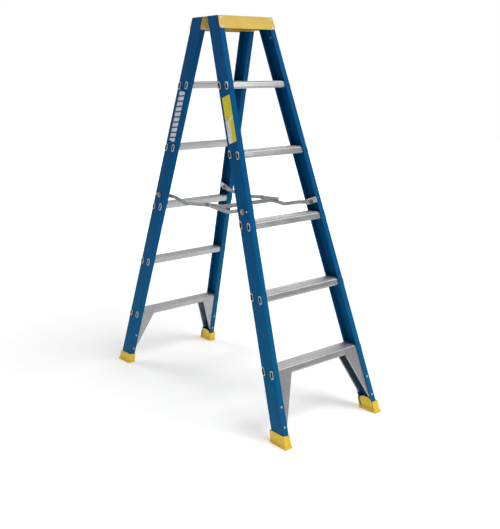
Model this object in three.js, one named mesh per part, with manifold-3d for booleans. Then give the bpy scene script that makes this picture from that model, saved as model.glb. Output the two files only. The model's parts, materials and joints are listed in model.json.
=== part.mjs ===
// Twin step ladder in millimetres, +Z up. Two mirrored frames of channel rails and hollow
// treads lean together under a top hinge and are held apart by a folding spreader.
// The origin is on the ground under the hinge; +X runs along the treads and the front
// frame stands on the -Y side. Pieces are shaped in the +X +Y quarter and mirrored.

import * as THREE from 'three';
import { mergeVertices } from 'three/addons/utils/BufferGeometryUtils.js';
import Module from 'manifold-3d';

// Stance: web outer faces and web centres, at the ground and at the rails' untrimmed top
const railLength = 1800;
const footHalfWidth = 270.5;
const headHalfWidth = 148.5;
const footReach = 614;
const headReach = 53;
const gap = 0.3;

// Channel rails
const railWidth = 74;
const flangeDepth = 27;
const railWall = 4;
const railCorner = 2;

// Treads, numbered from the ground up; the tubes' ends are swaged over the webs
const treadCount = 5;
const firstTreadHeight = 272;
const treadPitch = 284.3;
const treadRise = 17;
const treadPlate = 3.5;
const treadLip = 8;
const treadLipWall = 2.3;
const lipSetback = 34;
const noseRadius = 6.5;
const noseSteps = 4;
const ribCount = 8;
const ribHeight = 0.7;
const ribShare = 0.55;
const tubeSpacing = 54;
const tubeWidth = 12;
const tubeHeight = 28;
const boreWidth = 8.5;
const boreHeight = 24;
const swageWidth = 17;
const swageHeight = 35;
const swageDepth = 2.5;

// Top caps
const capTop = 1703;
const capWall = 3;
const capDepth = 55;
const capCorner = 9;
const capEdge = 3;
const capSplit = 1.5;

// Boots
const bootHeight = 48;
const bootWall = 3.5;
const bootReturn = 2;
const soleThickness = 12;
const heelReach = 50;
const toeReach = 43.5;
const beadHeight = 5;
const beadStep = 1;
const lipHeight = 9;
const lipStep = 2;
const tabHeight = 62;
const tabWall = 3.5;
const tabRecess = 1;
const heelShoulder = 34;
const toeShoulder = 14;
const grooveCount = 4;
const grooveWidth = 4;
const grooveDepth = 2;
const groovePitch = 20;

// Gusset braces under the lowest treads
const gussetShoulder = 257;
const gussetTip = 70;
const gussetReach = 94;
const gussetWall = 1.8;
const gussetLip = 8;

// Top hinge
const hingeHeight = 1693;
const knuckleRadius = 5;
const hingePinRadius = 2.7;
const hingePinHead = 4.2;
const hingePinHeadDepth = 2;
const hingeWidth = 240;
const hingeKnuckles = 5;
const leafWall = 2.5;
const leafDepth = 46;

// Spreader: pivots on the rails and a knuckle midway between the frames
const pivotReach = 319;
const pivotHeight = 897;
const knuckleHeight = 883;
const armWidth = 16;
const armWall = 3;
const armPivotPlane = 173.5;
const rearArmPlane = 164.5;
const frontArmPlane = 160.5;
const armJogStart = 290;
const armJogEnd = 245;
const armPivotRadius = 11;
const armKnuckleRadius = 10;
const armBends = [[250, 889], [160, 870]];
const knuckleRivetRadius = 3;
const knuckleHeadRadius = 6;
const knuckleHeadDepth = 2.4;
const crossbarReach = 121;
const crossbarHeight = 888.5;
const crossbarDepth = 18;
const bracketHeight = 25;
const bracketLift = 6;
const bracketWall = 2.5;
const boltRadius = 4;
const washerRadius = 13;
const washerDepth = 2;
const boltHeadRadius = 8.5;
const boltHeadDepth = 5;
const nutRadius = 7;
const nutDepth = 6;

// Directions of the +X +Y rail, worked out from the stance
const railHeight = Math.sqrt(
  railLength ** 2 - (footReach - headReach) ** 2 - (footHalfWidth - headHalfWidth) ** 2,
);
const foot = new THREE.Vector3(footHalfWidth, footReach, 0);
const head = new THREE.Vector3(headHalfWidth, headReach, railHeight);
const along = head.clone().sub(foot).normalize();
const outward = new THREE.Vector3(0, railHeight, footReach - headReach).normalize();
const inward = new THREE.Vector3().crossVectors(along, outward);
const slopeCos = outward.y;
const slopeSin = outward.z;
const slopeUp = new THREE.Vector3(0, -slopeSin, slopeCos);
const xAxis = new THREE.Vector3(1, 0, 0);
const yAxis = new THREE.Vector3(0, 1, 0);
const zAxis = new THREE.Vector3(0, 0, 1);
const arcSteps = 3;
const roundSteps = 16;

function finish(color, roughness, metalness) {
  return new THREE.MeshStandardMaterial({ color, roughness, metalness });
}

const blueFibreglass = finish(0x064a86, 0.45, 0);
const treadAluminium = finish(0xbdbdc0, 0.4, 0.9);
const braceAluminium = finish(0x9fa0a3, 0.45, 0.9);
const yellowPaint = finish(0xe3c24e, 0.5, 0.1);
const yellowRubber = finish(0xe6bb3c, 0.7, 0);
const zincSteel = finish(0x7f8586, 0.45, 0.8);

const wasm = await Module();
wasm.setup();

const ladder = new THREE.Group();

// --- Helpers -------------------------------------------------------------------------

function toSolid(geometry) {
  const bare = geometry.clone();
  bare.deleteAttribute('normal');
  bare.deleteAttribute('uv');
  const merged = mergeVertices(bare, 1e-4);
  const mesh = new wasm.Mesh({
    numProp: 3,
    vertProperties: Float32Array.from(merged.attributes.position.array),
    triVerts: Uint32Array.from(merged.index.array),
  });
  return new wasm.Manifold(mesh);
}

function toGeometry(solid) {
  const mesh = solid.getMesh();
  const geometry = new THREE.BufferGeometry();
  geometry.setAttribute('position', new THREE.BufferAttribute(mesh.vertProperties, 3));
  geometry.setIndex(new THREE.BufferAttribute(mesh.triVerts, 1));
  return geometry;
}

function mirrored(geometry, signX, signY) {
  const copy = geometry.clone().scale(signX, signY, 1);
  if (signX * signY < 0) {
    const index = copy.index.array;
    for (let i = 0; i < index.length; i += 3) {
      [index[i], index[i + 1]] = [index[i + 1], index[i]];
    }
  }
  copy.computeVertexNormals();
  return copy;
}

function addPart(name, solid, material, signX = 1, signY = 1) {
  const mesh = new THREE.Mesh(mirrored(toGeometry(solid), signX, signY), material);
  mesh.name = name;
  ladder.add(mesh);
}

// Extrudes a shape; its x, y and depth run along the three given directions from origin
function prism(shape, depth, directions, origin) {
  const options = { depth, bevelEnabled: false, curveSegments: arcSteps };
  const geometry = new THREE.ExtrudeGeometry(shape, options);
  geometry.applyMatrix4(new THREE.Matrix4().makeBasis(...directions).setPosition(origin));
  return toSolid(geometry);
}

// A block in the rail's own directions: across the web, in from its outer face, and up
function railBlock(across, depth, up) {
  const block = new THREE.BoxGeometry(across[1] - across[0], depth[1] - depth[0], up[1] - up[0]);
  block.translate((across[0] + across[1]) / 2, (depth[0] + depth[1]) / 2, (up[0] + up[1]) / 2);
  block.applyMatrix4(new THREE.Matrix4().makeBasis(outward, inward, along).setPosition(foot));
  return toSolid(block);
}

function worldBlock(low, high) {
  const block = new THREE.BoxGeometry(high[0] - low[0], high[1] - low[1], high[2] - low[2]);
  block.translate((low[0] + high[0]) / 2, (low[1] + high[1]) / 2, (low[2] + high[2]) / 2);
  return toSolid(block);
}

function acrossX(solid) {
  return toSolid(mirrored(toGeometry(solid), -1, 1));
}

// Everything between the two rails' webs, measured in from their outer faces
function betweenWebs(inset) {
  const wide = 2 * footHalfWidth + railWidth;
  const block = railBlock([-3 * railWidth, 3 * railWidth], [inset, wide], [-railWidth, 2 * railLength]);
  return block.intersect(acrossX(block));
}

function outline(points) {
  return new THREE.Shape(points.map(([x, y]) => new THREE.Vector2(x, y)));
}

// A slot with round ends: its long axis leans by angle from the shape's y axis
function obround(width, height, angle, centreX = 0, centreY = 0) {
  const radius = width / 2;
  const reach = height / 2 - radius;
  const shape = new THREE.Shape();
  const topX = centreX - reach * Math.sin(angle);
  const topY = centreY + reach * Math.cos(angle);
  shape.absarc(topX, topY, radius, angle, Math.PI + angle, false);
  shape.absarc(2 * centreX - topX, 2 * centreY - topY, radius, Math.PI + angle, 2 * Math.PI + angle, false);
  return shape;
}

// A cylinder or stepped pin along X: pairs of radius and position, from one end to the other
function turnedAlongX(steps, y, z) {
  const points = [[0, steps[0][1]], ...steps, [0, steps[steps.length - 1][1]]];
  const lathe = new THREE.LatheGeometry(points.map(([r, x]) => new THREE.Vector2(r, x)), roundSteps);
  lathe.applyMatrix4(new THREE.Matrix4().makeBasis(yAxis, xAxis, zAxis.clone().negate()));
  lathe.translate(0, y, z);
  return toSolid(lathe);
}

function rodAlongX(radius, from, to, y, z) {
  return turnedAlongX([[radius, from], [radius, to]], y, z);
}

function webCentre(z) {
  return footReach - (footReach - headReach) * z / railHeight;
}

function webFace(z) {
  return footHalfWidth - (footHalfWidth - headHalfWidth) * z / railHeight;
}

// Y of a line at a perpendicular offset from the web centre, at height z
function slopedY(offset, z) {
  return webCentre(z) + offset / slopeCos;
}

// A point on the web's face from a sideways offset at a height: across and up in rail directions
function onWeb(sideways, z) {
  return [sideways * slopeCos + z * slopeSin, z * slopeCos - sideways * slopeSin];
}

// How far up the rail's own direction a point lies, from its height and its place on the rail
function upRail(z, across, depth) {
  return (z - across * outward.z - depth * inward.z) / along.z;
}

const treadHeights = Array.from({ length: treadCount }, (_, i) => firstTreadHeight + treadPitch * i);
const slopeAngle = Math.asin(slopeSin);

// --- Rails ---------------------------------------------------------------------------

function channelSection() {
  const half = railWidth / 2;
  const shape = new THREE.Shape();
  shape.moveTo(half, flangeDepth);
  shape.lineTo(half - railWall, flangeDepth);
  shape.lineTo(half - railWall, railWall);
  shape.lineTo(railWall - half, railWall);
  shape.lineTo(railWall - half, flangeDepth);
  shape.lineTo(-half, flangeDepth);
  shape.lineTo(-half, railCorner);
  shape.lineTo(railCorner - half, 0);
  shape.lineTo(half - railCorner, 0);
  shape.lineTo(half, railCorner);
  shape.closePath();
  return shape;
}

function tubeSolids(width, height, z, from, to) {
  return [-1, 1].map((side) => {
    const shape = obround(width, height, slopeAngle, webCentre(z) + side * tubeSpacing / 2, z);
    return prism(shape, to - from, [yAxis, zAxis, xAxis], new THREE.Vector3(from, 0, 0));
  });
}

function clearTubes(z, from, to) {
  const [first, second] = tubeSolids(tubeWidth + 2 * gap, tubeHeight + 2 * gap, z, from, to);
  return first.add(second);
}

// The flanges end under the cap's plate, and the web reaches up through it
function makeRail() {
  let rail = prism(channelSection(), railLength + railWidth, [outward, inward, along], foot);
  for (const z of treadHeights) {
    rail = rail.subtract(clearTubes(z, webFace(z) - 3 * railWall, webFace(z) + 3 * railWall));
  }
  const x = webFace(pivotHeight);
  const hole = rodAlongX(boltRadius + gap, x - 3 * railWall, x + 3 * railWall, pivotReach, pivotHeight);
  const reach = 2 * footReach;
  const abovePlate = worldBlock([0, -reach, capTop - capWall - 2 * gap], [reach, reach, 2 * capTop]);
  const upper = [railLength / 2, 2 * railLength];
  const flanges = railBlock([-railWidth, railWidth], [railWall, 2 * flangeDepth], upper);
  const standing = worldBlock([0, 0, soleThickness + gap], [reach, reach, capTop - gap]);
  return rail.subtract(hole).intersect(standing).subtract(flanges.intersect(abovePlate));
}

// --- Treads --------------------------------------------------------------------------

const treadEdge = railWidth / 2 - railWall - 2 * gap;
const plateHalf = treadEdge - noseRadius;

// The rounded front of a lip on one side, from its face up to the flat of the plate
function nose(side) {
  return Array.from({ length: noseSteps + 1 }, (_, i) => {
    const turn = i * Math.PI / 2 / noseSteps;
    const offset = plateHalf + noseRadius * Math.cos(turn);
    return [side * offset, treadRise - ribHeight - noseRadius * (1 - Math.sin(turn))];
  });
}

// A ribbed plate with a round-nosed lip hanging from each edge
function treadSection(z) {
  const lipInner = treadEdge - treadLipWall;
  const bottom = treadRise - treadLip;
  const under = treadRise - treadPlate;
  const points = [...nose(-1).reverse(), [-treadEdge, bottom], [-lipInner, bottom], [-lipInner, under]];
  points.push([lipInner, under], [lipInner, bottom], [treadEdge, bottom], ...nose(1));
  const pitch = 2 * plateHalf / ribCount;
  const half = pitch * ribShare / 2;
  for (let rib = ribCount - 1; rib >= 0; rib -= 1) {
    const centre = -plateHalf + (rib + 0.5) * pitch;
    points.push([centre + half, treadRise - ribHeight], [centre + half - ribHeight / 2, treadRise]);
    points.push([centre - half + ribHeight / 2, treadRise], [centre - half, treadRise - ribHeight]);
  }
  return outline(points.map(([offset, rise]) => [slopedY(offset, z + rise), z + rise]));
}

function swage(side, z) {
  const [across, up] = onWeb(side * tubeSpacing / 2 + webCentre(z) - footReach, z);
  const rise = Math.hypot(footReach - headReach, railHeight);
  const stretch = Math.hypot(1, (footHalfWidth - headHalfWidth) / rise);
  const origin = foot.clone().addScaledVector(inward, -gap);
  const shape = obround(swageWidth, swageHeight, 0, across, up * stretch);
  return prism(shape, swageDepth, [outward, along, inward.clone().negate()], origin);
}

// The lips end short of the rails; the plate and the tubes run on between the flanges
function makeTread(z) {
  const reach = webFace(0) + railWidth;
  const start = new THREE.Vector3(-reach, 0, 0);
  const blank = prism(treadSection(z), 2 * reach, [yAxis, zAxis, xAxis], start);
  const inFlanges = railBlock([-plateHalf, plateHalf], [-reach, 2 * reach], [-railWidth, 2 * railLength]);
  const plateEnds = inFlanges.intersect(betweenWebs(railWall + gap));
  let tread = blank.intersect(betweenWebs(lipSetback).add(plateEnds));
  const ends = betweenWebs(-gap - swageDepth);
  for (const tube of tubeSolids(tubeWidth, tubeHeight, z, -reach, reach)) {
    tread = tread.add(tube.intersect(ends));
  }
  for (const side of [-1, 1]) {
    const collar = swage(side, z);
    tread = tread.add(collar).add(acrossX(collar));
  }
  for (const bore of tubeSolids(boreWidth, boreHeight, z, -reach, reach)) {
    tread = tread.subtract(bore);
  }
  return tread;
}

// --- Top caps ------------------------------------------------------------------------

function capSection() {
  const inside = railWidth / 2 + gap;
  const outside = inside + capWall;
  const under = capTop - capWall;
  const bottom = capTop - capDepth;
  const at = (offset, z) => [slopedY(offset, z), z];
  return outline([
    [capSplit, capTop],
    [capSplit, under],
    at(-outside, under),
    at(-outside, bottom),
    at(-inside, bottom),
    at(-inside, under),
    at(inside, under),
    at(inside, bottom),
    at(outside, bottom),
    at(outside, capTop - capEdge),
    [slopedY(outside, capTop) - capEdge, capTop],
  ]);
}

// The cap's outline seen along Y: ends in line with the webs, lower corners round
function capFace() {
  const bottom = capTop - capDepth;
  const topHalf = webFace(capTop);
  const bottomHalf = webFace(bottom);
  const shape = new THREE.Shape();
  shape.moveTo(-topHalf, capTop);
  shape.lineTo(-bottomHalf, bottom + capCorner);
  shape.quadraticCurveTo(-bottomHalf, bottom, -bottomHalf + capCorner, bottom);
  shape.lineTo(bottomHalf - capCorner, bottom);
  shape.quadraticCurveTo(bottomHalf, bottom, bottomHalf, bottom + capCorner);
  shape.lineTo(topHalf, capTop);
  shape.closePath();
  return shape;
}

// The plate is slotted for the webs, which come up through it
function makeCap() {
  const reach = 2 * headHalfWidth;
  const cap = prism(capSection(), 2 * reach, [yAxis, zAxis, xAxis], new THREE.Vector3(-reach, 0, 0));
  const origin = new THREE.Vector3(0, reach, 0);
  const face = prism(capFace(), 2 * reach, [xAxis, zAxis, yAxis.clone().negate()], origin);
  const half = railWidth / 2 + 1.5 * gap;
  const slot = railBlock([-half, half], [-railWall, railWall + gap], [railLength / 2, 2 * railLength]);
  return cap.intersect(face).subtract(slot).subtract(acrossX(slot));
}

// --- Boots ---------------------------------------------------------------------------

function bootOutline(step, low, high) {
  const half = (railWidth / 2 + bootWall + gap + step) / slopeCos;
  const middle = webCentre(bootHeight) - footReach;
  const tapered = (ground, top, z) => onWeb(ground + (top - ground) * z / bootHeight, z);
  const heel = (z) => tapered(-heelReach - step, middle - half, z);
  const toe = (z) => tapered(toeReach + step, middle + half, z);
  return outline([heel(low), toe(low), toe(high), heel(high)]);
}

function bootBlock(step, low, high) {
  const origin = foot.clone().addScaledVector(inward, flangeDepth + bootReturn);
  const depth = flangeDepth + bootReturn + bootWall + gap + step;
  return prism(bootOutline(step, low, high), depth, [outward, along, inward.clone().negate()], origin);
}

// The tab between the flanges stands higher than the rest, with round shoulders
function bootTab() {
  const half = (railWidth / 2 - railWall - gap) / slopeCos;
  const at = (side, inset, z) => onWeb(webCentre(z) - footReach + side * (half - inset), z);
  const shape = new THREE.Shape();
  shape.moveTo(...at(-1, 0, soleThickness / 2));
  shape.lineTo(...at(1, 0, soleThickness / 2));
  shape.lineTo(...at(1, 0, bootHeight));
  shape.quadraticCurveTo(...at(1, 0, tabHeight), ...at(1, toeShoulder, tabHeight));
  shape.lineTo(...at(-1, heelShoulder, tabHeight));
  shape.quadraticCurveTo(...at(-1, heelShoulder / 2, tabHeight), ...at(-1, 0, bootHeight));
  shape.closePath();
  const origin = foot.clone().addScaledVector(inward, flangeDepth - tabRecess);
  return prism(shape, tabWall, [outward, along, inward.clone().negate()], origin);
}

function makeBoot() {
  const reach = 2 * footReach;
  const half = railWidth / 2 + gap;
  const socket = railBlock([-half, half], [-gap, 2 * flangeDepth], [-railWidth, 2 * railWidth]);
  const aboveSole = worldBlock([0, 0, soleThickness], [reach, reach, reach]);
  let boot = bootBlock(0, -railWidth / 2, bootHeight)
    .add(bootBlock(beadStep, bootHeight - beadHeight, bootHeight))
    .add(bootBlock(lipStep, -railWidth / 2, lipHeight));
  boot = boot.subtract(socket.intersect(aboveSole)).add(bootTab());
  boot = boot.intersect(worldBlock([0, 0, 0], [reach, reach, reach]));
  for (let i = 0; i < grooveCount; i += 1) {
    const from = footReach + (i - (grooveCount - 1) / 2) * groovePitch - grooveWidth / 2;
    boot = boot.subtract(worldBlock([0, from, -grooveDepth], [reach, from + grooveWidth, grooveDepth]));
  }
  return boot;
}

// --- Gusset braces -------------------------------------------------------------------

// One brace lies inside a flange and over the tube's side, up to the tread's lip; its
// diagonal edge is folded towards the channel's middle
function makeGusset(side) {
  const face = railWidth / 2 - railWall - gap;
  const root = railWall + 2 * gap;
  const top = firstTreadHeight + treadRise - treadLip - 4 * gap;
  const corner = (depth, z) => [depth, upRail(z, side * face, depth)];
  const tip = corner(flangeDepth, gussetTip);
  const shoulder = corner(gussetReach, gussetShoulder);
  const slope = (gussetReach - flangeDepth) / (shoulder[1] - tip[1]);
  const lipRise = gussetWall * Math.hypot(1, slope) / slope;
  const raised = ([depth, up]) => [depth, up + lipRise];
  const outerTop = corner(gussetReach, top);
  const plate = outline([corner(root, gussetTip), tip, shoulder, outerTop, corner(root, top)]);
  const lip = outline([tip, shoulder, raised(shoulder), raised(tip)]);
  const directions = [inward, along, outward];
  const start = foot.clone().addScaledVector(outward, side > 0 ? face - gussetWall : -face);
  const lipStart = foot.clone().addScaledVector(outward, side > 0 ? face - gussetLip : -face);
  const tubeBottom = firstTreadHeight - tubeHeight / 2;
  const underTubes = worldBlock([0, 0, 0], [footHalfWidth, 2 * footReach, tubeBottom - gap]);
  const fold = prism(lip, gussetLip, directions, lipStart)
    .intersect(prism(plate, gussetLip, directions, lipStart))
    .intersect(underTubes);
  const sheet = prism(plate, gussetWall, directions, start);
  return sheet.subtract(clearTubes(firstTreadHeight, 0, 2 * footHalfWidth)).add(fold);
}

// --- Top hinge -----------------------------------------------------------------------

const flangeToHinge = (slopedY(-railWidth / 2 - gap - capWall, hingeHeight)) * slopeCos;

// The leaf lies on the cap's inner flange; every other knuckle along the pin is its own
function makeLeaf(firstKnuckle) {
  const outer = flangeToHinge - gap;
  const inner = outer - leafWall;
  const pitch = hingeWidth / hingeKnuckles;
  const left = -hingeWidth / 2;
  const directions = [outward, slopeUp, xAxis];
  const top = leafWall / 2;
  const plate = outline([[inner, -leafDepth], [outer, -leafDepth], [outer, top], [inner, top]]);
  let leaf = prism(plate, hingeWidth, directions, new THREE.Vector3(left, 0, hingeHeight));
  const bridge = outline([[0, -top], [outer, -top], [outer, top], [0, top]]);
  for (let i = firstKnuckle; i < hingeKnuckles; i += 2) {
    const from = left + i * pitch + gap;
    const to = from + pitch - 2 * gap;
    leaf = leaf.add(rodAlongX(knuckleRadius, from, to, 0, hingeHeight));
    leaf = leaf.add(prism(bridge, to - from, directions, new THREE.Vector3(from, 0, hingeHeight)));
  }
  return leaf.subtract(rodAlongX(hingePinRadius + gap, -hingeWidth, hingeWidth, 0, hingeHeight));
}

function makeHingePin() {
  const end = hingeWidth / 2 + gap;
  const tip = end + hingePinHeadDepth;
  return turnedAlongX([
    [hingePinHead, -tip],
    [hingePinHead, -end],
    [hingePinRadius, -end],
    [hingePinRadius, end],
    [hingePinHead, end],
    [hingePinHead, tip],
  ], 0, hingeHeight);
}

// --- Spreader ------------------------------------------------------------------------

// Both sides of a path at a half width, mitred at its bends, as one closed outline
function strip(path, width) {
  const points = path.map(([x, y]) => new THREE.Vector2(x, y));
  const normals = points.slice(1).map((point, i) => {
    const step = point.clone().sub(points[i]).normalize();
    return new THREE.Vector2(-step.y, step.x);
  });
  const sides = points.map((point, i) => {
    const before = normals[Math.max(i - 1, 0)];
    const after = normals[Math.min(i, normals.length - 1)];
    const mitre = before.clone().add(after).normalize();
    return mitre.multiplyScalar(width / 2 / mitre.dot(before));
  });
  const left = points.map((point, i) => [point.x + sides[i].x, point.y + sides[i].y]);
  const right = points.map((point, i) => [point.x - sides[i].x, point.y - sides[i].y]);
  return outline([...left, ...right.reverse()]);
}

function makeArm(plane) {
  const side = strip([[pivotReach, pivotHeight], ...armBends, [0, knuckleHeight]], armWidth);
  const near = Math.min(plane, armPivotPlane) - armWidth;
  const far = Math.max(plane, armPivotPlane) + armWidth;
  const start = new THREE.Vector3(near, 0, 0);
  let blank = prism(side, far - near, [yAxis, zAxis, xAxis], start);
  blank = blank.add(rodAlongX(armPivotRadius, near, far, pivotReach, pivotHeight));
  blank = blank.add(rodAlongX(armKnuckleRadius, near, far, 0, knuckleHeight));
  const plan = strip([
    [armPivotPlane, pivotReach + 2 * armPivotRadius],
    [armPivotPlane, armJogStart],
    [plane, armJogEnd],
    [plane, -2 * armKnuckleRadius],
  ], armWall);
  const low = new THREE.Vector3(0, 0, knuckleHeight - 3 * armWidth);
  const ribbon = prism(plan, 6 * armWidth, [xAxis, yAxis, zAxis], low);
  const holes = rodAlongX(boltRadius + gap, near, far, pivotReach, pivotHeight)
    .add(rodAlongX(knuckleRivetRadius + gap, near, far, 0, knuckleHeight));
  return blank.intersect(ribbon).subtract(holes);
}

// The rivet's inner part turns with the front arm and its outer head with the rear arm
function makeKnuckleRivet(shankEnd, headFace) {
  const headSide = Math.sign(headFace - shankEnd);
  const headEnd = headFace + headSide * knuckleHeadDepth;
  const steps = [
    [knuckleRivetRadius, shankEnd],
    [knuckleRivetRadius, headFace],
    [knuckleHeadRadius, headFace],
    [knuckleHeadRadius, (headFace + headEnd) / 2],
    [knuckleHeadRadius / 2, headEnd],
  ];
  return turnedAlongX(headSide > 0 ? steps : steps.reverse(), 0, knuckleHeight);
}

// A flat bar across the front arms, its ends turned back along them to the knuckle rivets
function makeCrossbar() {
  const plane = frontArmPlane - armWall - gap;
  const path = [
    [-plane, -2 * armKnuckleRadius],
    [-plane, crossbarReach],
    [plane, crossbarReach],
    [plane, -2 * armKnuckleRadius],
  ];
  const low = new THREE.Vector3(0, 0, knuckleHeight - 2 * armWidth);
  const ribbon = prism(strip(path, armWall), 4 * armWidth, [xAxis, yAxis, zAxis], low);
  const across = [yAxis, zAxis, xAxis];
  const start = new THREE.Vector3(-frontArmPlane, 0, 0);
  const ends = strip([[0, knuckleHeight], [crossbarReach, crossbarHeight]], armWidth);
  const bar = worldBlock(
    [-frontArmPlane, crossbarReach - armWall / 2, crossbarHeight - crossbarDepth / 2],
    [frontArmPlane, crossbarReach + armWall / 2, crossbarHeight + crossbarDepth / 2],
  );
  const side = prism(ends, 2 * frontArmPlane, across, start)
    .add(rodAlongX(armKnuckleRadius, -frontArmPlane, frontArmPlane, 0, knuckleHeight))
    .add(bar);
  const holes = rodAlongX(knuckleRivetRadius + gap, -footHalfWidth, footHalfWidth, 0, knuckleHeight);
  return ribbon.intersect(side).subtract(holes);
}

function makeBracket() {
  const half = railWidth / 2;
  const middle = (pivotHeight + bracketLift) / along.z;
  const depth = [flangeDepth + gap, flangeDepth + gap + bracketWall];
  const plate = railBlock([-half, half], depth, [middle - bracketHeight / 2, middle + bracketHeight / 2]);
  const hole = rodAlongX(boltRadius + gap, 0, footHalfWidth, pivotReach, pivotHeight);
  return plate.subtract(hole);
}

function makePivotBolt() {
  const lean = (footHalfWidth - headHalfWidth) / railHeight;
  const seat = webFace(pivotHeight) + washerRadius * lean + gap;
  const nutFace = armPivotPlane - armWall / 2 - gap;
  return turnedAlongX([
    [nutRadius, nutFace - nutDepth],
    [nutRadius, nutFace],
    [boltRadius, nutFace],
    [boltRadius, seat],
    [washerRadius, seat],
    [washerRadius, seat + washerDepth],
    [boltHeadRadius, seat + washerDepth],
    [boltHeadRadius, seat + washerDepth + boltHeadDepth],
  ], pivotReach, pivotHeight);
}

// --- Assembly ------------------------------------------------------------------------

const frames = [['front', -1], ['rear', 1]];
const sides = [['left', -1], ['right', 1]];
const rail = makeRail();
const boot = makeBoot();
const gussets = [['outer', makeGusset(1)], ['inner', makeGusset(-1)]];
const bracket = makeBracket();
const pivotBolt = makePivotBolt();
const treads = treadHeights.map(makeTread);
const cap = makeCap();

for (const [frame, signY] of frames) {
  for (const [side, signX] of sides) {
    addPart(`${frame}_rail_${side}`, rail, blueFibreglass, signX, signY);
    addPart(`${frame}_boot_${side}`, boot, yellowRubber, signX, signY);
    for (const [place, gusset] of gussets) {
      addPart(`${frame}_gusset_${place}_${side}`, gusset, braceAluminium, signX, signY);
    }
    addPart(`${frame}_spreader_bracket_${side}`, bracket, zincSteel, signX, signY);
    addPart(`${frame}_pivot_bolt_${side}`, pivotBolt, zincSteel, signX, signY);
  }
  treads.forEach((tread, i) => addPart(`${frame}_tread_${i + 1}`, tread, treadAluminium, 1, signY));
  addPart(`${frame}_cap`, cap, yellowPaint, 1, signY);
}

addPart('hinge_leaf_front', makeLeaf(0), zincSteel, 1, -1);
addPart('hinge_leaf_rear', makeLeaf(1), zincSteel);
addPart('hinge_pin', makeHingePin(), zincSteel);

const frontArm = makeArm(frontArmPlane);
const rearArm = makeArm(rearArmPlane);
const knucklePin = makeKnuckleRivet(frontArmPlane + armWall / 2, frontArmPlane - 1.5 * armWall - 2 * gap);
const knuckleHead = makeKnuckleRivet(rearArmPlane - armWall / 2, rearArmPlane + armWall / 2 + gap);
for (const [side, signX] of sides) {
  addPart(`spreader_arm_front_${side}`, frontArm, zincSteel, signX, -1);
  addPart(`spreader_arm_rear_${side}`, rearArm, zincSteel, signX, 1);
  addPart(`knuckle_rivet_inner_${side}`, knucklePin, zincSteel, signX, 1);
  addPart(`knuckle_rivet_outer_${side}`, knuckleHead, zincSteel, signX, 1);
}
addPart('spreader_crossbar', makeCrossbar(), zincSteel, 1, -1);

export default ladder;
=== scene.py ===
"""Looks of a twin step ladder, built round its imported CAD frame.

Metres, +Z up. The front frame stands on the -Y side and +X runs along the treads. The ladder is
symmetric, so small pieces are shaped on the rear right rail, the +X +Y quarter, and mirrored.
"""

import json
import math

import bmesh
import bpy
from mathutils import Matrix, Vector
from mathutils.bvhtree import BVHTree


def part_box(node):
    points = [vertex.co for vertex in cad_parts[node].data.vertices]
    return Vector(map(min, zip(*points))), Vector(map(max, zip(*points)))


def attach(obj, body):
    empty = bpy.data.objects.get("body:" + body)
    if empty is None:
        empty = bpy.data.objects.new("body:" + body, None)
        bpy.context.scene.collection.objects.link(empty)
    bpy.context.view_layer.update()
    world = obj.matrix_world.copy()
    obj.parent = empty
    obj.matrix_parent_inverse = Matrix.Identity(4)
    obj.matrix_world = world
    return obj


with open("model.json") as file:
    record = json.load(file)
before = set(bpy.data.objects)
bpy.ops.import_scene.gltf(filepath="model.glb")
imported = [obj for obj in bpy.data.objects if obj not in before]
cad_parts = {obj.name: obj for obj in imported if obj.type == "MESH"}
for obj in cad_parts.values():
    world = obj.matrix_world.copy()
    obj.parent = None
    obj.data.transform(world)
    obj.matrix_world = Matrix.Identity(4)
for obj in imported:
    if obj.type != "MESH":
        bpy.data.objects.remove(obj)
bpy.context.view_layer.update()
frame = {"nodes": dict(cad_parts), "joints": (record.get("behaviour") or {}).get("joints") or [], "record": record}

MM = 0.001

# Camera: where it stands, which way it looks, and its lens
CAMERA_AT = Vector((-2.116, -2.7578, 1.4432))
CAMERA_YAW = 0.6739
CAMERA_PITCH = -0.1721
CAMERA_ROLL = -0.0121
CAMERA_LENS = 52.065
CAMERA_SHIFT_Y = -0.103

# The treads' tubes, which are swaged over outside the webs
TREAD_COUNT = 5
TUBE_BELOW_TREAD = 17 * MM
TUBE_SPACING = 54 * MM
BORE_SIZE = (8.5 * MM, 24 * MM)
RING_SIZE = (18 * MM, 36 * MM)
# Shares of the way from the bore to the ring's rim, and millimetres out from the web
RING_PROFILE = (
    (-0.1, -22),
    (-0.1, 2.2),
    (0.02, 2.8),
    (0.2, 2.85),
    (0.27, 3.35),
    (0.4, 3.6),
    (0.6, 3.6),
    (0.8, 3.35),
    (0.93, 2.95),
    (1.0, 2.2),
    (1.0, 0.1),
    (0.06, -0.2),
    (0.02, -22),
)
RING_STEPS = 48
# The first bands of each ring line the bore and wear a near-black finish, painted shade
SHADE_LINING_BANDS = 3
WELD = 0.01 * MM

# A blind rivet's head: radius and height in millimetres, from its middle outwards
RIVET_PROFILE = (
    (0, 0.55),
    (0.9, 0.45),
    (1.15, 0.1),
    (1.5, 1.05),
    (2.1, 1.35),
    (3.1, 1.3),
    (4.2, 0.95),
    (4.9, 0.4),
    (5.0, 0.0),
    (4.9, -0.3),
    (0, -0.3),
)
RIVET_STEPS = 24

SIDES = (("left", -1), ("right", 1))
FRAMES = (("front", -1), ("rear", 1))

# --- Where the frame is -------------------------------------------------------------------

joint_at = {joint["name"]: Vector(joint["pos_m"]) for joint in frame["joints"]}
mount_at = {mount["name"]: Vector(mount["pos_m"]) for mount in frame["record"]["mounts"]}
foot = mount_at["foot_rear_right"]
pivot = joint_at["rear_arm_right_swing"]
fold_axis = joint_at["frame_fold"]


def web_centre(z):
    """Distance of the web's middle from the hinge plane at a height."""
    return foot.y + (pivot.y - foot.y) * z / pivot.z


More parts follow.
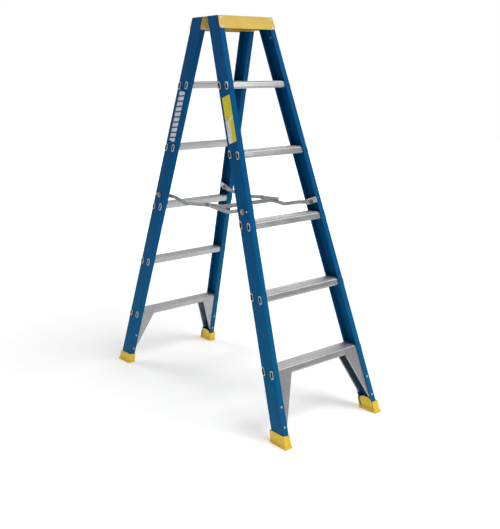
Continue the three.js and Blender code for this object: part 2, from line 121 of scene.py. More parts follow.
def surface(node, start, direction):
    """Where a straight line first meets a CAD node, and the surface's normal there."""
    mesh = bmesh.new()
    mesh.from_mesh(frame["nodes"][node].data)
    point, normal, _, _ = BVHTree.FromBMesh(mesh).ray_cast(Vector(start), Vector(direction))
    mesh.free()
    return point, normal


web_point, web_normal = surface("rear_rail_right", (1, web_centre(0.7), 0.7), (-1, 0, 0))
ACROSS = Vector((0, 1, (foot.y - pivot.y) / pivot.z)).normalized()
INWARD = -web_normal
ALONG = ACROSS.cross(INWARD).normalized()
BASE = web_point - ALONG * (web_point.z / ALONG.z)


def on_rail(across, depth, z):
    """A point of the rear right rail: sideways on its web, in from its outer face, at a height."""
    up = (z - ACROSS.z * across - INWARD.z * depth) / ALONG.z
    return BASE + ACROSS * across + INWARD * depth + ALONG * up


def mirrored(vector, side, face):
    """A rear right vector on another rail: side is -1 on the left and face is -1 on the front."""
    return Vector((vector.x * side, vector.y * face, vector.z))


# --- Nodes of materials -------------------------------------------------------------------


def put(tree, kind, inputs=None, **settings):
    """A shader node with its settings, and its inputs by name or number."""
    node = tree.nodes.new(kind)
    for name, value in settings.items():
        setattr(node, name, value)
    for name, value in (inputs or {}).items():
        if isinstance(value, bpy.types.NodeSocket):
            tree.links.new(value, node.inputs[name])
        else:
            node.inputs[name].default_value = value
    return node


def new_material(name, **values):
    """A material with a Principled shader, its constant sockets set directly."""
    material = bpy.data.materials.new(name)
    material.use_nodes = True
    tree = material.node_tree
    shader = tree.nodes["Principled BSDF"]
    for socket, value in values.items():
        shader.inputs[socket.replace("_", " ")].default_value = value
    return material, tree, shader


def object_position(tree):
    return put(tree, "ShaderNodeTexCoord").outputs["Object"]


def rail_position(tree):
    """Position on any rail: across its web, in from its outer face and up it, in metres."""
    folded = put(tree, "ShaderNodeVectorMath", {0: object_position(tree)}, operation="ABSOLUTE")
    offset = put(tree, "ShaderNodeVectorMath", {0: folded.outputs[0], 1: BASE}, operation="SUBTRACT")
    parts = []
    for direction in (ACROSS, INWARD, ALONG):
        dot = {0: offset.outputs[0], 1: direction}
        parts.append(put(tree, "ShaderNodeVectorMath", dot, operation="DOT_PRODUCT").outputs["Value"])
    return put(tree, "ShaderNodeCombineXYZ", dict(enumerate(parts))).outputs[0]


def scaled(tree, vector, scale):
    return put(tree, "ShaderNodeVectorMath", {0: vector, 1: scale}, operation="MULTIPLY").outputs[0]


def noise(tree, vector, scale, detail=2.0, roughness=0.5):
    """Noise from 0 to 1; the scale is cells per metre, one number or one for each axis."""
    spread = scaled(tree, vector, scale if isinstance(scale, tuple) else (scale,) * 3)
    inputs = {"Vector": spread, "Scale": 1.0, "Detail": detail, "Roughness": roughness}
    return put(tree, "ShaderNodeTexNoise", inputs).outputs[0]


def remap(tree, value, low, high, to_low=0.0, to_high=1.0):
    inputs = {"Value": value, "From Min": low, "From Max": high, "To Min": to_low, "To Max": to_high}
    return put(tree, "ShaderNodeMapRange", inputs, interpolation_type="SMOOTHSTEP").outputs[0]


def maths(tree, operation, first, second=0.0):
    return put(tree, "ShaderNodeMath", {0: first, 1: second}, operation=operation).outputs[0]


def mixed(tree, factor, first, second):
    """Two colours mixed by a factor."""
    node = put(tree, "ShaderNodeMix", data_type="RGBA")
    for socket, value in ((0, factor), (6, first), (7, second)):
        if isinstance(value, bpy.types.NodeSocket):
            tree.links.new(value, node.inputs[socket])
        else:
            node.inputs[socket].default_value = value if socket == 0 else (*value, 1)
    return node.outputs[2]


def bumped(tree, shader, height, strength, distance):
    inputs = {"Height": height, "Strength": strength, "Distance": distance}
    bump = put(tree, "ShaderNodeBump", inputs)
    if shader.inputs["Normal"].is_linked:
        tree.links.new(shader.inputs["Normal"].links[0].from_socket, bump.inputs["Normal"])
    tree.links.new(bump.outputs[0], shader.inputs["Normal"])


def edge_mask(tree, radius):
    """1 on a convex or concave edge and 0 on a flat face."""
    rounded = put(tree, "ShaderNodeBevel", {"Radius": radius}, samples=6)
    true = put(tree, "ShaderNodeNewGeometry")
    same = put(
        tree,
        "ShaderNodeVectorMath",
        {0: rounded.outputs[0], 1: true.outputs["True Normal"]},
        operation="DOT_PRODUCT",
    )
    return remap(tree, same.outputs["Value"], 0.995, 0.8)


def height_above_ground(tree):
    split = put(tree, "ShaderNodeSeparateXYZ", {0: object_position(tree)})
    return split.outputs[2]


# --- Materials ----------------------------------------------------------------------------


def blue_fibreglass():
    """Pultruded glass fibre: rovings run up the rail under a thin satin veil of resin, lighter towards the floor
    with painted bounce light.
    """
    material, tree, shader = new_material("blue_fibreglass", Specular_IOR_Level=0.04)
    place = rail_position(tree)
    rovings = noise(tree, place, (260, 260, 3.5), 4)
    fibres = noise(tree, place, (1300, 1300, 22), 3)
    clouds = noise(tree, place, (16, 16, 5), 3)
    veil = noise(tree, place, 900, 3, 0.65)
    streaks = remap(tree, rovings, 0.3, 0.72)
    colour = mixed(tree, streaks, (0.0003, 0.064, 0.186), (0.0005, 0.084, 0.236))
    colour = mixed(tree, remap(tree, fibres, 0.5, 0.8, 0, 0.3), colour, (0.002, 0.115, 0.29))
    colour = mixed(tree, remap(tree, clouds, 0.4, 0.75, 0, 0.3), colour, (0.0003, 0.054, 0.165))
    # Painted light: the blue lightens towards the floor, standing in for light bounced up off it
    painted_floor_bounce = remap(tree, height_above_ground(tree), 1.25, 0.15, 0, 0.5)
    colour = mixed(tree, painted_floor_bounce, colour, (0.004, 0.14, 0.3))
    dust = remap(tree, height_above_ground(tree), 0.22, 0.04, 0, 0.15)
    dust = maths(tree, "MULTIPLY", dust, remap(tree, noise(tree, place, 40, 4), 0.35, 0.7))
    colour = mixed(tree, dust, colour, (0.13, 0.15, 0.16))
    tree.links.new(colour, shader.inputs["Base Color"])
    rough = remap(tree, rovings, 0.25, 0.75, 0.5, 0.38)
    rough = maths(tree, "ADD", rough, maths(tree, "MULTIPLY", veil, 0.08))
    tree.links.new(rough, shader.inputs["Roughness"])
    bumped(tree, shader, rovings, 0.3, 0.35 * MM)
    bumped(tree, shader, fibres, 0.35, 0.12 * MM)
    bumped(tree, shader, veil, 0.2, 0.06 * MM)
    return material


def extruded_aluminium():
    """Mill finish: die lines run along the tread, with handling marks across them."""
    material, tree, shader = new_material("tread_aluminium", Metallic=1.0, Anisotropic=0.35)
    place = object_position(tree)
    lines = noise(tree, place, (2.2, 1500, 1500), 3)
    bands = noise(tree, place, (1.2, 130, 130), 2)
    smudges = noise(tree, place, (14, 30, 30), 4, 0.6)
    colour = mixed(tree, remap(tree, lines, 0.3, 0.7), (0.44, 0.442, 0.452), (0.56, 0.562, 0.57))
    colour = mixed(tree, remap(tree, bands, 0.4, 0.7, 0, 0.4), colour, (0.56, 0.56, 0.57))
    colour = mixed(tree, remap(tree, smudges, 0.5, 0.8, 0, 0.35), colour, (0.5, 0.5, 0.5))
    tree.links.new(colour, shader.inputs["Base Color"])
    rough = remap(tree, smudges, 0.3, 0.75, 0.34, 0.48)
    rough = maths(tree, "ADD", rough, maths(tree, "MULTIPLY", lines, 0.06))
    tree.links.new(rough, shader.inputs["Roughness"])
    bumped(tree, shader, lines, 0.35, 0.08 * MM)
    bumped(tree, shader, bands, 0.2, 0.12 * MM)
    return material


def sheet_aluminium():
    """Rolled sheet, a little darker and duller, with its grain up and down."""
    material, tree, shader = new_material("brace_aluminium", Metallic=1.0, Anisotropic=0.3)
    place = rail_position(tree)
    grain = noise(tree, place, (1400, 1400, 9), 3)
    smudges = noise(tree, place, 45, 4, 0.6)
    colour = mixed(tree, remap(tree, grain, 0.3, 0.7), (0.4, 0.402, 0.41), (0.53, 0.532, 0.54))
    colour = mixed(tree, remap(tree, smudges, 0.45, 0.8, 0, 0.4), colour, (0.34, 0.34, 0.35))
    tree.links.new(colour, shader.inputs["Base Color"])
    tree.links.new(remap(tree, smudges, 0.3, 0.75, 0.4, 0.55), shader.inputs["Roughness"])
    bumped(tree, shader, grain, 0.35, 0.08 * MM)
    bumped(tree, shader, noise(tree, place, 28, 1), 0.12, 0.8 * MM)
    return material


def powder_coat():
    """Satin yellow powder coat: orange peel, rubbed edges and a few small chips."""
    material, tree, shader = new_material("yellow_paint", Coat_Weight=0.15, Coat_Roughness=0.35)
    place = object_position(tree)
    clouds = noise(tree, place, 22, 3)
    peel = noise(tree, place, 700, 2)
    colour = mixed(tree, remap(tree, clouds, 0.3, 0.7), (0.505, 0.338, 0.036), (0.56, 0.384, 0.05))
    grime = remap(tree, noise(tree, place, (60, 60, 25), 4, 0.65), 0.58, 0.85, 0, 0.3)
    colour = mixed(tree, grime, colour, (0.4, 0.29, 0.12))
    edges = edge_mask(tree, 1.6 * MM)
    rubbed = maths(tree, "MULTIPLY", edges, remap(tree, noise(tree, place, 90, 4), 0.5, 0.62))
    colour = mixed(tree, maths(tree, "MULTIPLY", rubbed, 0.55), colour, (0.86, 0.78, 0.56))
    tree.links.new(colour, shader.inputs["Base Color"])
    tree.links.new(remap(tree, clouds, 0.3, 0.75, 0.4, 0.54), shader.inputs["Roughness"])
    bumped(tree, shader, peel, 0.3, 0.14 * MM)
    return material


def moulded_rubber():
    """Moulded yellow boot: fine grain, flow marks, scuffs and a dusty sole."""
    material, tree, shader = new_material("yellow_rubber", Specular_IOR_Level=0.4)
    place = rail_position(tree)
    grain = noise(tree, place, 1500, 3, 0.6)
    flow = noise(tree, place, (30, 30, 60), 3)
    colour = mixed(tree, remap(tree, flow, 0.3, 0.7), (0.84, 0.56, 0.035), (0.94, 0.64, 0.05))
    scuffs = remap(tree, noise(tree, place, (120, 120, 420), 4, 0.65), 0.6, 0.75, 0, 0.45)
    low = remap(tree, height_above_ground(tree), 0.03, 0.002)
    dirt_and_bore_shade = maths(tree, "MULTIPLY", low, remap(tree, noise(tree, place, 150, 4), 0.3, 0.75, 0.05, 0.4))
    colour = mixed(tree, scuffs, colour, (0.6, 0.36, 0.07))
    colour = mixed(tree, dirt_and_bore_shade, colour, (0.3, 0.21, 0.075))
    edges = maths(tree, "MULTIPLY", edge_mask(tree, 1.5 * MM), 0.3)
    colour = mixed(tree, edges, colour, (0.9, 0.68, 0.2))
    tree.links.new(colour, shader.inputs["Base Color"])
    tree.links.new(remap(tree, grain, 0.3, 0.7, 0.58, 0.72), shader.inputs["Roughness"])
    bumped(tree, shader, grain, 0.45, 0.12 * MM)
    bumped(tree, shader, flow, 0.15, 0.5 * MM)
    return material


def plated_steel(name, dark, light, spangle):
    """Zinc plate: soft spangles, a fine grain and duller patches."""
    material, tree, shader = new_material(name, Metallic=0.9)
    place = object_position(tree)
    cells = put(tree, "ShaderNodeTexVoronoi", {"Vector": place, "Scale": spangle})
    tone = put(tree, "ShaderNodeSeparateColor", {0: cells.outputs["Color"]}).outputs[0]
    patches = noise(tree, place, 60, 4, 0.6)
    grain = noise(tree, place, 1600, 3)
    colour = mixed(tree, remap(tree, tone, 0, 1, 0.15, 0.85), dark, light)
    dull = tuple(0.7 * part for part in dark)
    colour = mixed(tree, remap(tree, patches, 0.45, 0.8, 0, 0.6), colour, dull)
    tree.links.new(colour, shader.inputs["Base Color"])
    rough = remap(tree, patches, 0.3, 0.75, 0.38, 0.56)
    rough = maths(tree, "ADD", rough, maths(tree, "MULTIPLY", tone, 0.06))
    tree.links.new(rough, shader.inputs["Roughness"])
    bumped(tree, shader, grain, 0.3, 0.08 * MM)
    return material


def bore_painted_shade():
    """Painted shade: a near-black, mottled lining for the inside of a tube, where shade falls."""
    material, tree, shader = new_material("bore_painted_shade", Specular_IOR_Level=0.1)
    dirt_and_bore_shade = noise(tree, object_position(tree), 300, 3)
    colour = mixed(tree, remap(tree, dirt_and_bore_shade, 0.3, 0.7), (0.004, 0.002, 0.002), (0.012, 0.007, 0.006))
    tree.links.new(colour, shader.inputs["Base Color"])
    tree.links.new(remap(tree, dirt_and_bore_shade, 0.3, 0.7, 0.65, 0.9), shader.inputs["Roughness"])
    return material


MATERIALS = {
    "bore_painted_shade": bore_painted_shade(),
    "blue_fibreglass": blue_fibreglass(),
    "tread_aluminium": extruded_aluminium(),
    "brace_aluminium": sheet_aluminium(),
    "yellow_paint": powder_coat(),
    "yellow_rubber": moulded_rubber(),
    "zinc_steel": plated_steel("zinc_steel", (0.33, 0.345, 0.355), (0.44, 0.455, 0.465), 190),
    "bracket_steel": plated_steel("bracket_steel", (0.52, 0.54, 0.55), (0.65, 0.67, 0.68), 150),
    "bolt_steel": plated_steel("bolt_steel", (0.33, 0.28, 0.22), (0.45, 0.39, 0.31), 300),
    "rivet_steel": plated_steel("rivet_steel", (0.55, 0.56, 0.57), (0.68, 0.69, 0.7), 500),
}

# --- CAD nodes: materials, soft edges and smooth round faces ------------------------------

# Bevel widths in millimetres, by a word in the node's name
BEVELS = {
    "rail": 1.3,
    "tread": 0.8,
    "cap": 1.4,
    "boot": 1.5,
    "gusset": 0.5,
    "bracket": 0.6,
    "bolt": 0.7,
    "leaf": 0.5,
    "pin": 0.5,
    "arm": 0.7,
    "rivet": 0.5,
    "crossbar": 0.7,
}
SMOOTH_ANGLE = math.radians(34)


def smooth_by_angle():
    """A geometry node group that shades faces smooth but keeps edges over the angle sharp."""
    group = bpy.data.node_groups.new("smooth_by_angle", "GeometryNodeTree")
    group.interface.new_socket("Geometry", in_out="INPUT", socket_type="NodeSocketGeometry")
    group.interface.new_socket("Geometry", in_out="OUTPUT", socket_type="NodeSocketGeometry")
    start = put(group, "NodeGroupInput")
    angle = put(group, "GeometryNodeInputMeshEdgeAngle")
    small = put(
        group,
        "FunctionNodeCompare",
        {0: angle.outputs[0], 1: SMOOTH_ANGLE},
        data_type="FLOAT",
        operation="LESS_THAN",
    )
    stored = {"Geometry": start.outputs[0], "Name": "custom_normal"}
    bare = put(group, "GeometryNodeRemoveAttribute", stored)
    faces = put(group, "GeometryNodeSetShadeSmooth", {"Geometry": bare.outputs[0]}, domain="FACE")
    edges = put(
        group,
        "GeometryNodeSetShadeSmooth",
        {"Geometry": faces.outputs[0], "Shade Smooth": small.outputs[0]},
        domain="EDGE",
    )
    put(group, "NodeGroupOutput", {0: edges.outputs[0]})
    return group


SMOOTHING = smooth_by_angle()


def soften(obj, width, segments=2):
    """Smooth shading and a small bevel on the sharp edges."""
    obj.modifiers.new("smooth", "NODES").node_group = SMOOTHING
    bevel = obj.modifiers.new("bevel", "BEVEL")
    bevel.width = width * MM
    bevel.segments = segments
    bevel.limit_method = "ANGLE"
    bevel.angle_limit = SMOOTH_ANGLE
    bevel.harden_normals = True
    bevel.miter_outer = "MITER_ARC"


def finish_of(node, slot):
    """The finish that a CAD node wears: its slot's, or a closer one for bolts and brackets."""
    if "bolt" in node or node.startswith("knuckle"):
        return "bolt_steel"
    if "bracket" in node:
        return "bracket_steel"
    return slot


def dress_nodes():
    slots = {part["node"]: part["material_slot"] for part in frame["record"]["subparts"]}
    for node, obj in frame["nodes"].items():
        kind = next(word for word in BEVELS if word in node)
        obj.data.materials.clear()
        obj.data.materials.append(MATERIALS[finish_of(node, slots[node])])
        soften(obj, BEVELS[kind])


# --- Small pieces -------------------------------------------------------------------------


def new_piece(name, mesh, body, slot, *finishes):
    """A finished piece from a bmesh, riding on a body, with the materials it wears."""
    data = bpy.data.meshes.new(name)
    bmesh.ops.recalc_face_normals(mesh, faces=mesh.faces)
    for face in mesh.faces:
        face.smooth = True
    mesh.to_mesh(data)
    mesh.free()
    for finish in finishes:
        data.materials.append(MATERIALS[finish])
    obj = bpy.data.objects.new(name, data)
    bpy.context.scene.collection.objects.link(obj)
    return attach(obj, body)


def loft(mesh, rings):
    """Bands of faces between rings of points; each ring closes on itself."""
    loops = [[mesh.verts.new(point) for point in ring] for ring in rings]
    bands = []
    for lower, upper in zip(loops, loops[1:]):
        ends = zip(lower, lower[1:] + lower[:1], upper[1:] + upper[:1], upper)
        bands.append([mesh.faces.new(corners) for corners in ends])
    return loops, bands


def add_rivet(mesh, point, normal, size):
    """A blind rivet's head on a surface, with the hollow that its mandrel leaves."""
    turn = normal.to_track_quat("Z", "Y").to_matrix().to_4x4()
    place = Matrix.Translation(point) @ turn
    rings = []
    for radius, rise in RIVET_PROFILE[1:-1]:
        angles = (2 * math.pi * i / RIVET_STEPS for i in range(RIVET_STEPS))
        reach = radius * size * MM
        up = rise * MM
        rings.append([place @ Vector((reach * math.cos(a), reach * math.sin(a), up)) for a in angles])
    loops, _ = loft(mesh, rings)
    for loop, (_, rise) in ((loops[0], RIVET_PROFILE[0]), (loops[-1], RIVET_PROFILE[-1])):
        centre = mesh.verts.new(place @ Vector((0, 0, rise * MM)))
        for i in range(RIVET_STEPS):
            mesh.faces.new((loop[i], loop[(i + 1) % RIVET_STEPS], centre))


def obround(width, height, step):
    """A point of a slot outline with round ends, at a step of RING_STEPS round it."""
    radius = width / 2
    reach = height / 2 - radius
    angle = 2 * math.pi * (step + 0.5) / RING_STEPS
    return radius * math.cos(angle), radius * math.sin(angle) + math.copysign(reach, math.sin(angle))


def add_swage(mesh, centre, side, face):
    """A tube's end, rolled over outside the web; its first bands line the bore with a near-black sleeve of painted
    shade.
    """
    rings = []
    for share, rise in RING_PROFILE:
        width = BORE_SIZE[0] + share * (RING_SIZE[0] - BORE_SIZE[0])
        height = BORE_SIZE[1] + share * (RING_SIZE[1] - BORE_SIZE[1])
        ring = []
        for step in range(RING_STEPS):
            across, up = obround(width, height, step)
            point = centre + ACROSS * across + ALONG * up - INWARD * rise * MM
            ring.append(mirrored(point, side, face))
        rings.append(ring)
    _, bands = loft(mesh, [*rings, rings[0]])
    # Painted shade: the sleeve reaching into the bore and the ring's inner lip wear the near-black lining
    for band in bands[:SHADE_LINING_BANDS]:
        for wall in band:
            wall.material_index = 1
    bmesh.ops.remove_doubles(mesh, verts=mesh.verts, dist=WELD)


def tube_centres():
    """Where each tube's axis crosses the web's outer face."""
    for number in range(1, TREAD_COUNT + 1):
        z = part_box(f"rear_tread_{number}")[1].z - TUBE_BELOW_TREAD
        for half in (-0.5, 0.5):
            across = half * TUBE_SPACING * ACROSS.y
            yield on_rail(across, 0, z)


def make_swages():
    for body, face in FRAMES:
        for name, side in SIDES:
            mesh = bmesh.new()
            for centre in tube_centres():
                add_swage(mesh, centre, side, face)
            label = f"{body}_swaged_tube_ends_{name}"
            # The last finish is the bore's near-black lining, painted shade
            new_piece(label, mesh, f"{body}_frame", "tread_aluminium", "tread_aluminium", "bore_painted_shade")


def rivet_group(name, body, seats, side, face, size):
    """One piece for a group of rivets on one rail, from their seats on the rear right rail."""
    mesh = bmesh.new()
    for point, normal in seats:
        add_rivet(mesh, mirrored(point, side, face), mirrored(normal, side, face), size)
    new_piece(name, mesh, body, "zinc_steel", "rivet_steel")


# Rivets, in millimetres: across the web or in from its outer face, and then their height
GUSSET_RIVETS = ((14, 78), (14, 153))
BOOT_RIVETS = ((-26, 32), (26, 33))
BOOT_TAB_RIVET = (-6, 45)
BRACKET_RIVET = (25.5, 900)
TOP_RIVET = (0, 1615.6)
RIVET_SIZES = {"gusset": 0.9, "boot": 1.0, "web": 0.85, "cap": 0.95, "top": 0.85}
HALF_WEB = 37
TAB_DEPTH = 28
CAP_RIVET_INSET = 13.5
CAP_RIVET_DROPS = (13, 47)
CAP_FLANGE_ACROSS = 38.8
PROBE = 0.02


def seat(node, spot, facing):
    """A rivet's seat near a spot: the point of a node's surface that faces a direction."""
    point, _ = surface(node, spot + facing * PROBE, -facing)
    return point, facing


def gusset_seats():
    """Heads on the flanges' outer faces, and tails on the gussets inside."""
    for depth, z in GUSSET_RIVETS:
        for sign, plate in ((1, "outer"), (-1, "inner")):
            spot = on_rail(sign * HALF_WEB * MM, depth * MM, z * MM)
            yield seat("rear_rail_right", spot, sign * ACROSS)
            yield seat(f"rear_gusset_{plate}_right", spot, -sign * ACROSS)


def boot_seats():
    for across, z in BOOT_RIVETS:
        yield seat("rear_boot_right", on_rail(across * MM, 0, z * MM), -INWARD)
    across, z = BOOT_TAB_RIVET
    yield seat("rear_boot_right", on_rail(across * MM, TAB_DEPTH * MM, z * MM), INWARD)


def web_seats():
    """A head beside the pivot bolt, outside the web."""
    across, z = BRACKET_RIVET
    yield seat("rear_rail_right", on_rail(across * MM, 0, z * MM), -INWARD)


def top_seat():
    """A head near the web's top, inside the rail only."""
    across, z = TOP_RIVET
    return seat("rear_rail_right", on_rail(across * MM, 0, z * MM), INWARD)


def cap_seats():
    """Two rivets at the cap's end, through its outer flange and through its inner one."""
    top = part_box("rear_cap")[1].z
    for drop in CAP_RIVET_DROPS:
        z = top - drop * MM
        flange = web_centre(z) + CAP_FLANGE_ACROSS * MM / ACROSS.y
        end, _ = surface("rear_cap", (1, flange, z), (-1, 0, 0))
        x = end.x - CAP_RIVET_INSET * MM
        for sign in (1, -1):
            spot = Vector((x, web_centre(z) + sign * CAP_FLANGE_ACROSS * MM / ACROSS.y, z))
            yield seat("rear_cap", spot, sign * ACROSS)


def make_rivets():
    groups = (
        ("gusset", list(gusset_seats())),
        ("boot", list(boot_seats())),
        ("web", list(web_seats())),
        ("cap", list(cap_seats())),
    )
    for body, face in FRAMES:
        for name, side in SIDES:
            for kind, seats in groups:
                label = f"{body}_{kind}_rivets_{name}"
                rivet_group(label, f"{body}_frame", seats, side, face, RIVET_SIZES[kind])
    for name, side in SIDES:
        rivet_group(f"front_top_rivet_{name}", "front_frame", [top_seat()], side, -1, RIVET_SIZES["top"])


# --- Stickers -----------------------------------------------------------------------------

# From a sticker's rim inwards: how far in from its outline, and how far out from the web
STICKER_PROFILE = (
    (0, 0.02 * MM),
    (0, 0.12 * MM),
    (0.3 * MM, 0.25 * MM),
    (1.2 * MM, 0.25 * MM),
)
CAUTION_STICKER = {"across": (-22 * MM, 33 * MM), "z": (1.1755, 1.3655)}
STRIPE_STICKER = {"across": (-28 * MM, 18 * MM), "z": (1.155, 1.385)}
STICKER_CORNER = 3 * MM
PRINT_EDGE = 0.3 * MM

# The caution sticker: rows of dashes, a slanted white band and a white panel on one side below it
PRINT_PITCH = 4.6 * MM
BAND_SLOPE = 0.28
BAND_HEIGHT = 96 * MM
BAND_HALF = 3 * MM
PANEL_EDGE = 5 * MM

# The stripe sticker: a row of slanted blocks
BLOCK_PITCH = 25 * MM
BLOCK_SLANT = 0.4
BLOCK_HALF = 20 * MM


def rounded_rectangle(low, high, corner, steps=6):
    """Outline of a rectangle with round corners."""
    points = []
    corners = (
        (high[0], high[1], 0),
        (low[0], high[1], 90),
        (low[0], low[1], 180),
        (high[0], low[1], 270),
    )
    for x, y, start in corners:
        centre_x = x - math.copysign(corner, x - (low[0] + high[0]) / 2)
        centre_y = y - math.copysign(corner, y - (low[1] + high[1]) / 2)
        for i in range(steps + 1):
            angle = math.radians(start + 90 * i / steps)
            points.append((centre_x + corner * math.cos(angle), centre_y + corner * math.sin(angle)))
    return points


def sticker_reach(area):
    """How far up the rail a sticker's foot and head lie."""
    middle = sum(area["across"]) / 2
    return [(z - ACROSS.z * middle) / ALONG.z for z in area["z"]]


def sticker(name, body, side, face, area, finish):
    """A thin film on the web's outer face, its rim turned down on to the rail."""
    low_up, high_up = sticker_reach(area)
    low = (area["across"][0], low_up)
    high = (area["across"][1], high_up)
    mesh = bmesh.new()
    rings = []
    for inset, rise in STICKER_PROFILE:
        outline = rounded_rectangle(
            (low[0] + inset, low[1] + inset),
            (high[0] - inset, high[1] - inset),
            STICKER_CORNER,
        )
        raised = BASE - INWARD * rise
        ring = [raised + ACROSS * across + ALONG * up for across, up in outline]
        rings.append([mirrored(point, side, face) for point in ring])
    loops, _ = loft(mesh, rings)
    mesh.faces.new(loops[-1])
    mesh.faces.new(loops[0][::-1])
    new_piece(name, mesh, body, "blue_fibreglass", finish)


def print_rows(tree, place):
    """Rows of plain grey dashes in place of small print, running up the sticker."""
    across = put(tree, "ShaderNodeSeparateXYZ", {0: place}).outputs[0]
    row = maths(tree, "PINGPONG", across, PRINT_PITCH / 2)
    ink = remap(tree, row, 0.32 * PRINT_PITCH, 0.36 * PRINT_PITCH)
    words = noise(tree, place, (1.2 / PRINT_PITCH, 1.2 / PRINT_PITCH, 190), 1)
    dashes = remap(tree, words, 0.46, 0.5)
    return maths(tree, "MULTIPLY", maths(tree, "MULTIPLY", ink, dashes), 0.6)


def caution_film():
    """A yellow vinyl sticker with a white panel at its foot, faded and finely creased."""
    material, tree, shader = new_material("caution_film", Specular_IOR_Level=0.15)
    place = rail_position(tree)
    split = put(tree, "ShaderNodeSeparateXYZ", {0: place})
    across, up = split.outputs[0], split.outputs[2]
    low_up, _ = sticker_reach(CAUTION_STICKER)
    slope = maths(tree, "MULTIPLY", across, BAND_SLOPE)
    band_up = maths(tree, "ADD", slope, low_up + BAND_HEIGHT)
    above = maths(tree, "SUBTRACT", up, band_up)
    below = remap(tree, above, PRINT_EDGE, -PRINT_EDGE)
    beside = remap(tree, across, PANEL_EDGE + PRINT_EDGE, PANEL_EDGE - PRINT_EDGE)
    panel = maths(tree, "MULTIPLY", below, beside)
    from_band = maths(tree, "ABSOLUTE", above)
    band = remap(tree, from_band, BAND_HALF + PRINT_EDGE, BAND_HALF - PRINT_EDGE)
    panel = maths(tree, "MAXIMUM", panel, band)
    fade = noise(tree, place, (60, 60, 25), 4, 0.6)
    yellow = mixed(tree, remap(tree, fade, 0.35, 0.7), (0.72, 0.62, 0.012), (0.82, 0.72, 0.03))
    white = mixed(tree, remap(tree, fade, 0.35, 0.7), (0.74, 0.74, 0.76), (0.84, 0.84, 0.86))
    colour = mixed(tree, panel, yellow, white)
    colour = mixed(tree, print_rows(tree, place), colour, (0.09, 0.08, 0.03))
    tree.links.new(colour, shader.inputs["Base Color"])
    tree.links.new(remap(tree, fade, 0.3, 0.7, 0.3, 0.45), shader.inputs["Roughness"])
    bumped(tree, shader, noise(tree, place, (120, 120, 30), 3), 0.3, 0.2 * MM)
    return material


def stripe_film():
    """A dark sticker printed with a row of plain pale slanted blocks."""
    material, tree, shader = new_material("stripe_film", Coat_Weight=0.2, Coat_Roughness=0.25)
    place = rail_position(tree)
    split = put(tree, "ShaderNodeSeparateXYZ", {0: place})
    across, up = split.outputs[0], split.outputs[2]
    middle = sum(STRIPE_STICKER["across"]) / 2
    sideways = maths(tree, "ABSOLUTE", maths(tree, "SUBTRACT", across, middle))
    inside = remap(tree, sideways, BLOCK_HALF + PRINT_EDGE, BLOCK_HALF - PRINT_EDGE)
    slanted = maths(tree, "ADD", up, maths(tree, "MULTIPLY", across, BLOCK_SLANT))
    row = maths(tree, "PINGPONG", slanted, BLOCK_PITCH / 2)
    blocks = remap(tree, row, 0.36 * BLOCK_PITCH, 0.34 * BLOCK_PITCH)
    bars = maths(tree, "MULTIPLY", inside, blocks)
    fade = noise(tree, place, (70, 70, 22), 4, 0.6)
    white = mixed(tree, remap(tree, fade, 0.35, 0.7), (0.55, 0.56, 0.6), (0.72, 0.73, 0.75))
    blue = mixed(tree, remap(tree, fade, 0.35, 0.7), (0.002, 0.03, 0.1), (0.004, 0.045, 0.13))
    tree.links.new(mixed(tree, bars, blue, white), shader.inputs["Base Color"])
    tree.links.new(remap(tree, fade, 0.3, 0.7, 0.3, 0.45), shader.inputs["Roughness"])
    bumped(tree, shader, noise(tree, place, (120, 120, 30), 3), 0.3, 0.2 * MM)
    return material


def make_stickers():
    MATERIALS["caution_film"] = caution_film()
    MATERIALS["stripe_film"] = stripe_film()
    sticker("front_caution_sticker", "front_frame", -1, -1, CAUTION_STICKER, "caution_film")
    sticker("rear_stripe_sticker", "rear_frame", -1, 1, STRIPE_STICKER, "stripe_film")


# --- Stage --------------------------------------------------------------------------------

# The level direction past the ladder, away from the camera
BEHIND = Vector((0.62, 0.78, 0))
KEY_LIGHT = {"place": (0.8, -3.2, 5.0), "target": (0, 0, 0.7), "size": 3.5, "power": 215}
BACK_LIGHT = {"place": (-1.5, 4.5, 4.5), "target": (0, 0, 0.6), "size": 3.0, "power": 80}
FLOOR_RADIUS = 14
FLOOR_STEPS = 64


def make_camera():
    data = bpy.data.cameras.new("camera")
    data.lens = CAMERA_LENS
    data.shift_y = CAMERA_SHIFT_Y
    data.clip_end = 100
    camera = bpy.data.objects.new("camera", data)
    bpy.context.scene.collection.objects.link(camera)
    level = math.cos(CAMERA_PITCH)
    east = math.sin(CAMERA_YAW) * level
    north = math.cos(CAMERA_YAW) * level
    forward = Vector((east, north, math.sin(CAMERA_PITCH)))
    right = forward.cross(Vector((0, 0, 1))).normalized()
    upright = Matrix((right, right.cross(forward), -forward)).transposed()
    turn = upright @ Matrix.Rotation(CAMERA_ROLL, 3, "Z")
    camera.matrix_world = Matrix.Translation(CAMERA_AT) @ turn.to_4x4()
    bpy.context.scene.camera = camera


def make_light(name, place, target, size, power):
    data = bpy.data.lights.new(name, "AREA")
    data.shape = "DISK"
    data.size = size
    data.energy = power
    light = bpy.data.objects.new(name, data)
    bpy.context.scene.collection.objects.link(light)
    aim = Vector(target) - Vector(place)
    turn = aim.to_track_quat("-Z", "Y").to_matrix().to_4x4()
    light.matrix_world = Matrix.Translation(place) @ turn


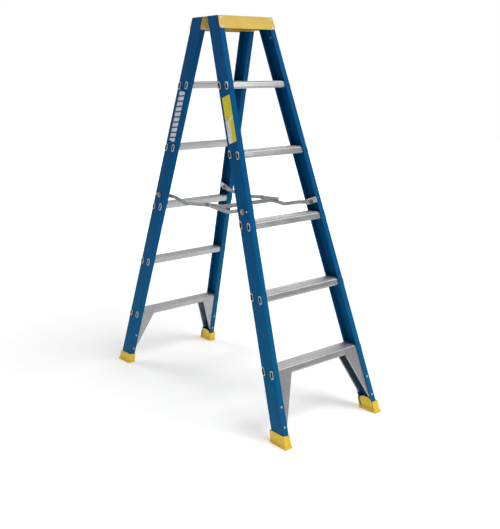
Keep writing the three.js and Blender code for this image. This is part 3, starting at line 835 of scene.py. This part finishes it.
def make_world():
    """A white surround for the eye; as a light it is brightest behind the ladder."""
    world = bpy.data.worlds.new("surround")
    world.use_nodes = True
    tree = world.node_tree
    direction = put(tree, "ShaderNodeTexCoord").outputs["Generated"]
    behind = put(tree, "ShaderNodeVectorMath", {0: direction, 1: BEHIND}, operation="DOT_PRODUCT")
    glow = remap(tree, behind.outputs["Value"], -0.3, 0.9, 0.28, 0.9)
    seen = put(tree, "ShaderNodeLightPath").outputs["Is Camera Ray"]
    strength = maths(tree, "MAXIMUM", seen, glow)
    tree.nodes["Background"].inputs["Color"].default_value = (1, 1, 1, 1)
    tree.links.new(strength, tree.nodes["Background"].inputs["Strength"])
    bpy.context.scene.world = world


def floor_finish():
    """A pale sweep: it keeps the ladder's soft shadows and brightens to white further out."""
    material, tree, shader = new_material("floor", Roughness=0.9)
    place = object_position(tree)
    tint = noise(tree, place, 1.5, 3)
    colour = mixed(tree, remap(tree, tint, 0.3, 0.7), (0.93, 0.93, 0.93), (0.96, 0.96, 0.96))
    tree.links.new(colour, shader.inputs["Base Color"])
    distance = put(tree, "ShaderNodeVectorMath", {0: place}, operation="LENGTH").outputs["Value"]
    glow = remap(tree, distance, 1.0, 6.0, 0.12, 0.8)
    seen = put(tree, "ShaderNodeLightPath").outputs["Is Camera Ray"]
    shader.inputs["Emission Color"].default_value = (1, 1, 1, 1)
    strength = maths(tree, "MULTIPLY", glow, remap(tree, seen, 0, 1, 0.35, 1))
    tree.links.new(strength, shader.inputs["Emission Strength"])
    return material


def make_floor():
    mesh = bmesh.new()
    bmesh.ops.create_circle(mesh, cap_ends=True, segments=FLOOR_STEPS, radius=FLOOR_RADIUS)
    data = bpy.data.meshes.new("floor")
    mesh.to_mesh(data)
    mesh.free()
    data.materials.append(floor_finish())
    floor = bpy.data.objects.new("floor", data)
    bpy.context.scene.collection.objects.link(floor)


def make_stage():
    make_world()
    make_floor()
    make_light("key", **KEY_LIGHT)
    make_light("back", **BACK_LIGHT)
    bpy.context.scene.view_settings.view_transform = "Standard"


make_camera()
make_stage()
dress_nodes()
make_swages()
make_rivets()
make_stickers()
